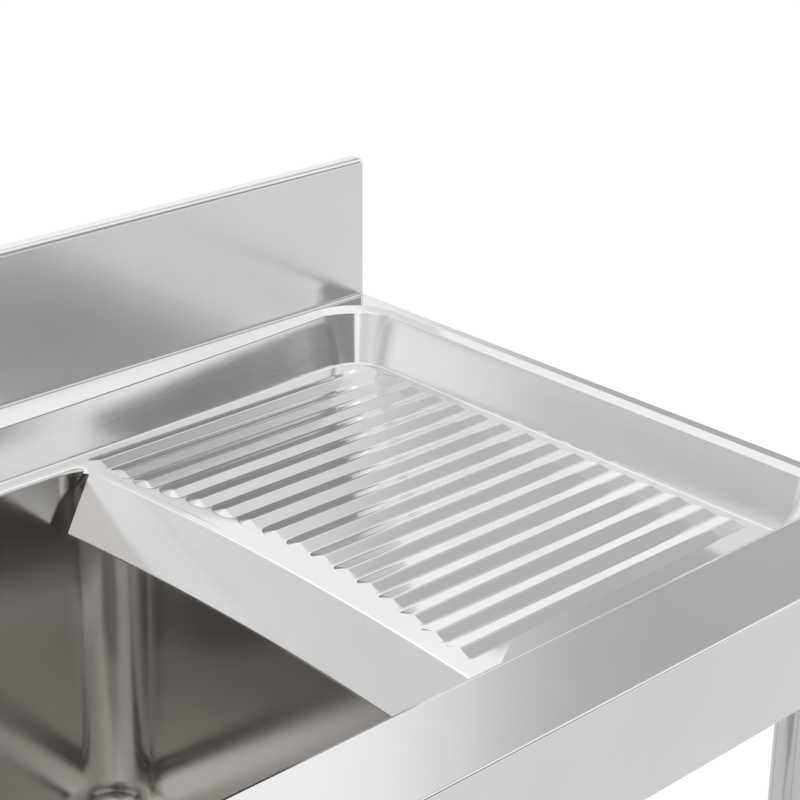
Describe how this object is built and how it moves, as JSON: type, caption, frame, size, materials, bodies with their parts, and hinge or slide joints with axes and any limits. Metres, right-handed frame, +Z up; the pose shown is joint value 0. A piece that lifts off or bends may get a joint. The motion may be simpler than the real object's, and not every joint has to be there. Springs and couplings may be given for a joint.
{
  "type": "sink table",
  "caption": "Stainless sink table with one bowl, a ribbed drainer, a folded upstand, round legs, a shelf and a lift-out strainer.",
  "frame": {"origin": "on the floor under the middle of the table", "axes": "+X to the right along the upstand, towards the drainer; +Y to the wall; +Z up"},
  "size_m": [0.8, 0.5, 0.95],
  "materials": {
    "deck_steel": "pressed stainless sheet with a fine satin grain",
    "splash_steel": "folded stainless sheet with a fine satin grain",
    "bowl_steel": "drawn stainless sheet, satin",
    "channel_steel": "folded sheet with a dull mill finish",
    "socket_steel": "turned, welded, dull",
    "leg_steel": "polished round tube",
    "insert_plastic": "moulded, fine texture",
    "foot_steel": "turned, lightly polished",
    "screw_steel": "black oxide",
    "shelf_steel": "folded stainless sheet, satin",
    "clamp_steel": "cast and brushed",
    "drain_steel": "polished",
    "drain_rubber": "matt moulded rubber",
    "drain_fibre": "pressed fibre",
    "drain_plastic": "moulded white plastic",
    "basket_steel": "pressed and turned, bright"
  },
  "bodies": {
    "table": {"top_deck": "deck_steel", "upstand": "splash_steel", "bowl": "bowl_steel", "channel_left": "channel_steel", "channel_right": "channel_steel", "channel_front": "channel_steel", "shelf_channel": "channel_steel", "leg_socket_back_right": "socket_steel", "leg_socket_back_left": "socket_steel", "leg_socket_front_left": "socket_steel", "leg_socket_front_right": "socket_steel", "leg_back_right": "leg_steel", "leg_back_left": "leg_steel", "leg_front_left": "leg_steel", "leg_front_right": "leg_steel", "foot_insert_back_right": "insert_plastic", "foot_insert_back_left": "insert_plastic", "foot_insert_front_left": "insert_plastic", "foot_insert_front_right": "insert_plastic", "socket_screws": "screw_steel", "clamp_screws": "screw_steel", "undershelf": "shelf_steel", "shelf_clamp_back_right": "clamp_steel", "shelf_clamp_back_left": "clamp_steel", "shelf_clamp_front_left": "clamp_steel", "shelf_clamp_front_right": "clamp_steel", "drain_body": "drain_steel", "drain_gasket": "drain_rubber", "tail_washer": "drain_rubber", "drain_washer": "drain_fibre", "drain_locknut": "drain_plastic", "tail_nut": "drain_plastic", "tailpiece": "drain_plastic"},
    "foot_back_right": {"foot_back_right": "foot_steel"},
    "foot_back_left": {"foot_back_left": "foot_steel"},
    "foot_front_left": {"foot_front_left": "foot_steel"},
    "foot_front_right": {"foot_front_right": "foot_steel"},
    "strainer": {"strainer_basket": "basket_steel", "basket_stem": "basket_steel", "basket_seal": "drain_rubber"}
  },
  "joints": [
    {"name": "level_back_right", "type": "slide", "parent": "table", "child": "foot_back_right", "axis": [0, 0, -1], "range_m": [0, 0.025]},
    {"name": "level_back_left", "type": "slide", "parent": "table", "child": "foot_back_left", "axis": [0, 0, -1], "range_m": [0, 0.025]},
    {"name": "level_front_left", "type": "slide", "parent": "table", "child": "foot_front_left", "axis": [0, 0, -1], "range_m": [0, 0.025]},
    {"name": "level_front_right", "type": "slide", "parent": "table", "child": "foot_front_right", "axis": [0, 0, -1], "range_m": [0, 0.025]},
    {"name": "strainer_lift", "type": "slide", "parent": "table", "child": "strainer", "axis": [0, 0, 1], "range_m": [0, 0.4]}
  ]
}
